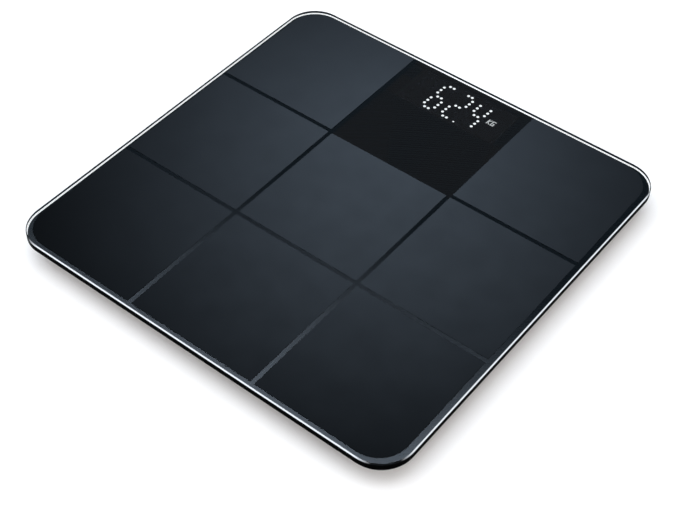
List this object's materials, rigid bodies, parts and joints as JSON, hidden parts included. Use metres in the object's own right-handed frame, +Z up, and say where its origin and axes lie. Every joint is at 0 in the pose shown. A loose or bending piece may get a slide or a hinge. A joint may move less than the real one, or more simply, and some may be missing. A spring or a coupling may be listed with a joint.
{
  "type": "bathroom scale",
  "caption": "Square glass-topped digital bathroom scale with satin tread tiles, a lit dot display, load-cell feet and a battery bay underneath.",
  "frame": {"origin": "on the floor under the middle of the square platform", "axes": "+Z up, +X to the user's right, +Y away from the user towards the display"},
  "size_m": [0.3, 0.3, 0.0225],
  "materials": {
    "glass": "clear tempered glass, fine-ground edges",
    "enamel_black": "baked black enamel, glossy through the glass",
    "tread_satin": "fine satin non-slip coating",
    "window_film": "smoke-tinted film",
    "housing_plastic": "fine spark-eroded texture",
    "foot_plastic": "fine texture",
    "button_grey": "satin",
    "foam_tape": "open foam",
    "cell_can": "printed sleeve over a steel can",
    "contact_nickel": "nickel plate",
    "board_green": "solder mask",
    "chip_black": "moulded epoxy",
    "ceramic": "fired ceramic",
    "nylon_white": "moulded nylon",
    "switch_metal": "stamped shell",
    "screw_steel": "zinc plate",
    "light_box_black": "matt moulded",
    "lens_lit": "clear epoxy lit from below",
    "lens_dark": "smoke epoxy, unlit",
    "led_chip": "phosphor over a diode",
    "cell_steel": "stamped alloy steel, nickel plate",
    "gauge_white": "silicone cover",
    "rubber": "soft, slightly dusty",
    "wire_red": "PVC",
    "wire_white": "PVC",
    "wire_black": "PVC",
    "clip_plastic": "translucent nylon"
  },
  "bodies": {
    "platform": {"glass_platform": "glass", "back_print": "enamel_black", "tread_tiles": "tread_satin", "display_window": "window_film", "electronics_tray": "housing_plastic", "tray_tape": "foam_tape", "battery_1": "cell_can", "battery_2": "cell_can", "battery_3": "cell_can", "battery_plates": "contact_nickel", "battery_springs": "contact_nickel", "main_board": "board_green", "microcontroller": "chip_black", "weighing_amplifier": "chip_black", "small_parts": "ceramic", "wire_terminals": "nylon_white", "unit_switch": "switch_metal", "board_screws": "screw_steel", "light_box": "light_box_black", "lit_lenses": "lens_lit", "dark_lenses": "lens_dark", "unit_mark_lenses": "lens_lit", "led_chips": "led_chip", "foot_tapes": "foam_tape", "strain_gauges": "gauge_white", "wires_red": "wire_red", "wires_white": "wire_white", "wires_black": "wire_black", "battery_leads": "wire_black", "wire_clips": "clip_plastic", "foot_housing_front_left": "housing_plastic", "load_cell_front_left": "cell_steel", "foot_housing_front_right": "housing_plastic", "load_cell_front_right": "cell_steel", "foot_housing_back_left": "housing_plastic", "load_cell_back_left": "cell_steel", "foot_housing_back_right": "housing_plastic", "load_cell_back_right": "cell_steel"},
    "battery_door": {"battery_door": "housing_plastic"},
    "unit_button": {"unit_button": "button_grey"},
    "foot_front_left": {"foot_cap_front_left": "foot_plastic", "rubber_foot_front_left": "rubber"},
    "foot_front_right": {"foot_cap_front_right": "foot_plastic", "rubber_foot_front_right": "rubber"},
    "foot_back_left": {"foot_cap_back_left": "foot_plastic", "rubber_foot_back_left": "rubber"},
    "foot_back_right": {"foot_cap_back_right": "foot_plastic", "rubber_foot_back_right": "rubber"}
  },
  "joints": [
    {"name": "foot_press_front_left", "type": "slide", "parent": "platform", "child": "foot_front_left", "axis": [0, 0, 1], "range_m": [0, 0.0005], "stiffness_N_per_m": 3000, "springref_m": -0.002},
    {"name": "foot_press_front_right", "type": "slide", "parent": "platform", "child": "foot_front_right", "axis": [0, 0, 1], "range_m": [0, 0.0005], "stiffness_N_per_m": 3000, "springref_m": -0.002},
    {"name": "foot_press_back_left", "type": "slide", "parent": "platform", "child": "foot_back_left", "axis": [0, 0, 1], "range_m": [0, 0.0005], "stiffness_N_per_m": 3000, "springref_m": -0.002},
    {"name": "foot_press_back_right", "type": "slide", "parent": "platform", "child": "foot_back_right", "axis": [0, 0, 1], "range_m": [0, 0.0005], "stiffness_N_per_m": 3000, "springref_m": -0.002},
    {"name": "battery_door_hinge", "type": "hinge", "parent": "platform", "child": "battery_door", "pos_m": [0, 0.0578, 0.0033], "axis": [-1, 0, 0], "range_deg": [0, 80]},
    {"name": "unit_button_press", "type": "slide", "parent": "platform", "child": "unit_button", "axis": [0, 0, 1], "range_m": [0, 0.0008], "stiffness_N_per_m": 400, "springref_m": -0.001}
  ]
}
